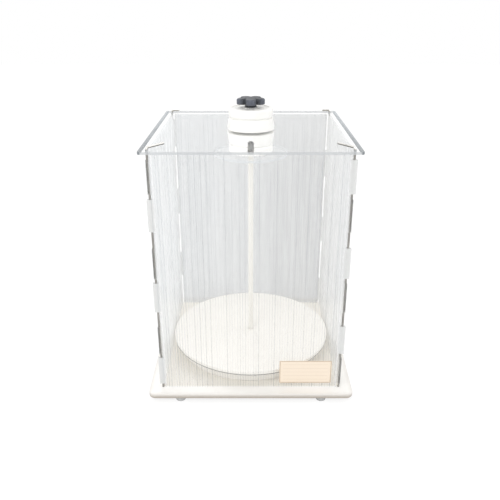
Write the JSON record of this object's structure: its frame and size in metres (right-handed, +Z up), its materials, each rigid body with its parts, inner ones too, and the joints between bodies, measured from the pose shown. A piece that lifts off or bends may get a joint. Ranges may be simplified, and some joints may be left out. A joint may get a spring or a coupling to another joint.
{
  "type": "cake carrier",
  "caption": "Clear square carrier for a tall tiered cake: fluted walls knit together by corner rods, a lift-off clear lid, and a centre rod whose spools and star knob press a disk on the cake.",
  "frame": {"origin": "on the floor under the middle of the base board", "axes": "+X to the right of the labelled front panel seen from outside, +Y to the back, +Z up along the centre rod"},
  "size_m": [0.475, 0.475, 0.6609],
  "materials": {
    "hdpe_white": "satin",
    "grey_rubber": "matt",
    "zinc_screw": "satin",
    "bush_metal": "satin",
    "rod_plastic": "satin",
    "board_white": "satin",
    "fluted_sheet": "clear, fluted",
    "label_film": "semi-gloss",
    "clear_lid": "clear",
    "rod_steel": "drawn",
    "clear_disk": "clear",
    "spool_white": "semi-gloss",
    "washer_steel": "satin",
    "knob_dark": "satin",
    "insert_brass": "machined"
  },
  "bodies": {
    "base": {"base_board": "hdpe_white", "foot_front_left": "grey_rubber", "foot_front_right": "grey_rubber", "foot_back_right": "grey_rubber", "foot_back_left": "grey_rubber", "foot_screws": "zinc_screw", "centre_bush": "bush_metal", "centre_rod": "rod_plastic"},
    "board": {"cake_board": "board_white"},
    "press": {"compression_disk": "clear_disk", "lower_spool": "spool_white"},
    "walls": {"panel_front": "fluted_sheet", "panel_right": "fluted_sheet", "panel_back": "fluted_sheet", "panel_left": "fluted_sheet", "label": "label_film"},
    "lid": {"lid": "clear_lid"},
    "rod_front_left": {"corner_rod_front_left": "rod_steel"},
    "rod_front_right": {"corner_rod_front_right": "rod_steel"},
    "rod_back_right": {"corner_rod_back_right": "rod_steel"},
    "rod_back_left": {"corner_rod_back_left": "rod_steel"},
    "spool": {"upper_spool": "spool_white"},
    "washer": {"knob_washer": "washer_steel"},
    "knob": {"knob": "knob_dark", "knob_insert": "insert_brass"}
  },
  "joints": [
    {"name": "board_turn", "type": "hinge", "parent": "base", "child": "board", "pos_m": [0, 0, 0.05], "axis": [0, 0, 1], "continuous": true},
    {"name": "press_slide", "type": "slide", "parent": "base", "child": "press", "axis": [0, 0, 1], "range_m": [-0.465, 0]},
    {"name": "walls_lift", "type": "slide", "parent": "base", "child": "walls", "axis": [0, 0, 1], "range_m": [0, 0.64]},
    {"name": "lid_lift", "type": "slide", "parent": "walls", "child": "lid", "axis": [0, 0, 1], "range_m": [0, 0.58]},
    {"name": "rod_front_left_lift", "type": "slide", "parent": "lid", "child": "rod_front_left", "axis": [0, 0, 1], "range_m": [0, 0.58]},
    {"name": "rod_front_right_lift", "type": "slide", "parent": "lid", "child": "rod_front_right", "axis": [0, 0, 1], "range_m": [0, 0.58]},
    {"name": "rod_back_right_lift", "type": "slide", "parent": "lid", "child": "rod_back_right", "axis": [0, 0, 1], "range_m": [0, 0.58]},
    {"name": "rod_back_left_lift", "type": "slide", "parent": "lid", "child": "rod_back_left", "axis": [0, 0, 1], "range_m": [0, 0.58]},
    {"name": "spool_lift", "type": "slide", "parent": "lid", "child": "spool", "axis": [0, 0, 1], "range_m": [0, 0.08]},
    {"name": "knob_rise", "type": "slide", "parent": "spool", "child": "washer", "axis": [0, 0, 1], "range_m": [0, 0.0141]},
    {"name": "knob_turn", "type": "hinge", "parent": "washer", "child": "knob", "pos_m": [0, 0, 0.65], "axis": [0, 0, 1], "range_deg": [0, 3360]}
  ],
  "couplings": [
    {"joint": "knob_rise", "follows": "knob_turn", "m_per_rad": 0.00023873}
  ]
}
